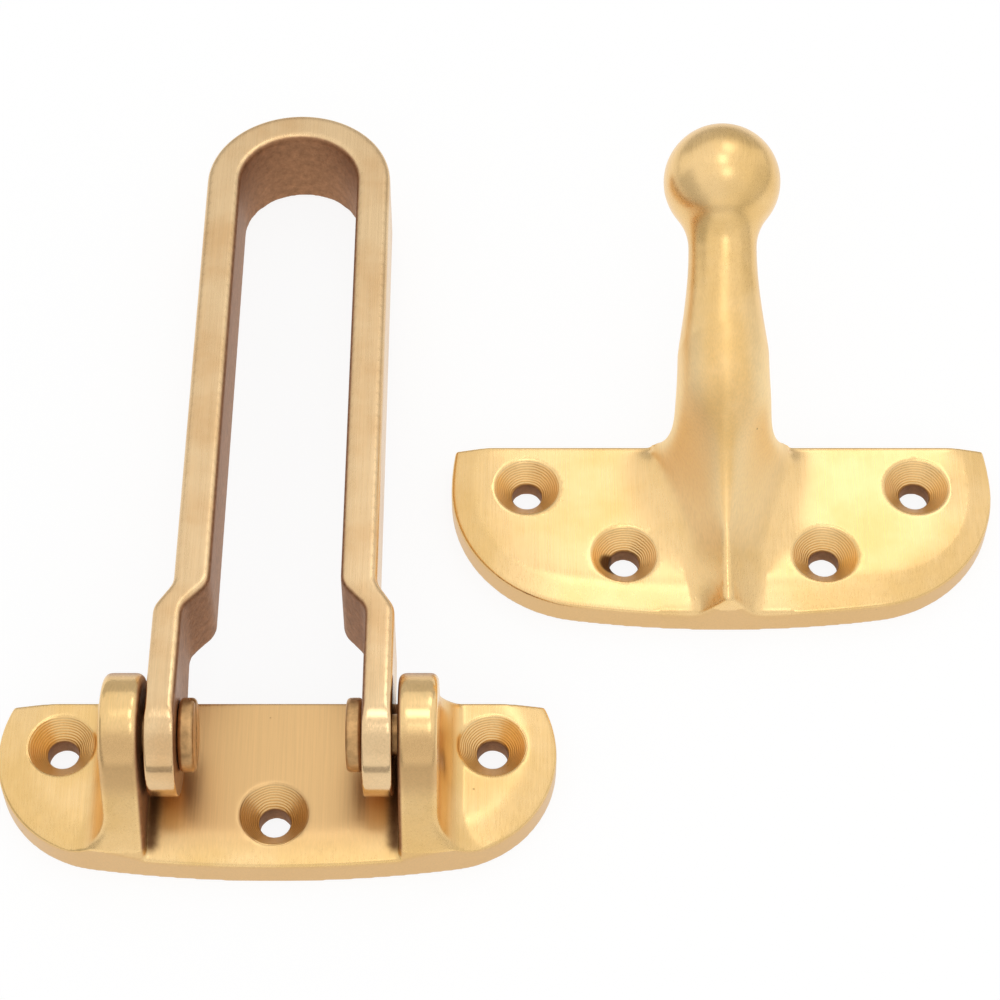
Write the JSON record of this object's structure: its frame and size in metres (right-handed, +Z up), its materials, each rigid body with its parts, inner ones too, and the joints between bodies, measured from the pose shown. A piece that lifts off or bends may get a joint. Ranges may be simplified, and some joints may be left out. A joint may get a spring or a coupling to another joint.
{
  "type": "swing bar door guard",
  "caption": "Solid brass door guard set: a hinge bracket with a U-shaped swing loop on shoulder screws, and a half-oval keeper plate whose leaning stem ends in a ball the loop drops over.",
  "frame": {"origin": "middle of the hinge bracket's flat seat, half way along its width and its depth", "axes": "+X along the plates' straight back edges towards the keeper, +Y from the rounded fronts to the straight backs, +Z up from the seats"},
  "size_m": [0.1252, 0.1116, 0.0345],
  "materials": {
    "bracket_brass": "satin brushed",
    "loop_brass": "satin brushed",
    "screw_brass": "as turned",
    "keeper_brass": "satin brushed"
  },
  "bodies": {
    "plates": {"hinge_bracket": "bracket_brass", "pivot_screw_left": "screw_brass", "pivot_screw_right": "screw_brass", "ball_keeper": "keeper_brass"},
    "loop": {"swing_loop": "loop_brass"}
  },
  "joints": [
    {"name": "loop_swing", "type": "hinge", "parent": "plates", "child": "loop", "pos_m": [0, 0.002, 0.0131], "axis": [1, 0, 0], "range_deg": [0, 186]}
  ]
}
